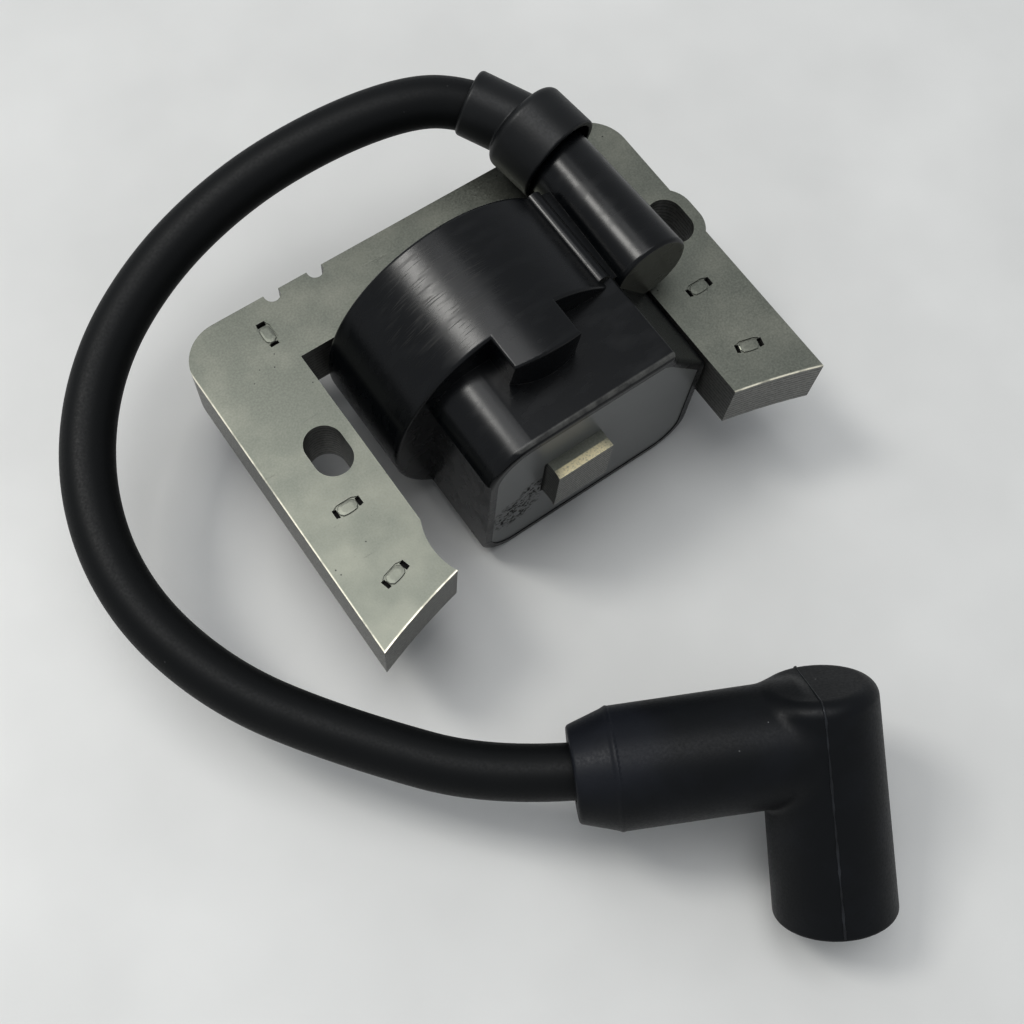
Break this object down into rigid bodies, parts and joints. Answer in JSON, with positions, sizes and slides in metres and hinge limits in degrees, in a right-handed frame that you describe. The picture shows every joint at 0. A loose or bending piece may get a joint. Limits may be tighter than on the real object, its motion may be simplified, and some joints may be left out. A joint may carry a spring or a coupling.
{
  "type": "ignition coil",
  "caption": "Small-engine ignition coil: laminated E-core with two mounting slots, potted coil case, high-tension lead and right-angle plug boot.",
  "frame": {"origin": "on the core's mounting face, on the centre leg's middle line, where the yoke's inner edge crosses it", "axes": "+X along the yoke, +Y from the poles towards the yoke's back edge, +Z from the mounting face through the lamination stack"},
  "size_m": [0.0999, 0.1323, 0.0376],
  "materials": {
    "core_steel": "satin punched electrical steel",
    "case_plastic": "gloss black moulded plastic",
    "epoxy": "semi-matt black epoxy",
    "bobbin_plastic": "natural nylon",
    "enamelled_wire": "enamelled copper wire",
    "board_laminate": "glass-epoxy board",
    "capacitor_film": "dipped film capacitor",
    "semiconductor": "moulded package",
    "resistor_body": "lacquered film resistor",
    "brass_parts": "plain brass",
    "boot_rubber": "matt black rubber",
    "lead_rubber": "matt black lead jacket",
    "conductor": "stranded copper",
    "spring_steel": "plated spring steel"
  },
  "bodies": {
    "module": {"core_bottom_sheet": "core_steel", "core_stack": "core_steel", "core_top_sheet": "core_steel", "coil_case": "case_plastic", "potting": "epoxy", "primary_bobbin": "bobbin_plastic", "primary_winding": "enamelled_wire", "secondary_bobbin": "bobbin_plastic", "secondary_winding": "enamelled_wire", "charge_bobbin": "bobbin_plastic", "charge_winding": "enamelled_wire", "trigger_winding": "enamelled_wire", "circuit_board": "board_laminate", "storage_capacitor": "capacitor_film", "thyristor": "semiconductor", "diodes": "semiconductor", "trigger_resistor": "resistor_body", "ground_strap": "brass_parts", "high_tension_link": "brass_parts", "tower_spike": "brass_parts", "seal_boot": "boot_rubber", "lead_jacket": "lead_rubber", "lead_conductor": "conductor"},
    "boot": {"plug_boot": "boot_rubber", "plug_clip": "spring_steel", "lead_crimp": "spring_steel"}
  },
  "joints": [
    {"name": "boot_swivel", "type": "hinge", "parent": "module", "child": "boot", "pos_m": [-0.02531, -0.0665, 0.00444], "axis": [-0.8827, 0.4604, -0.0941], "range_deg": [-90, 90]}
  ]
}
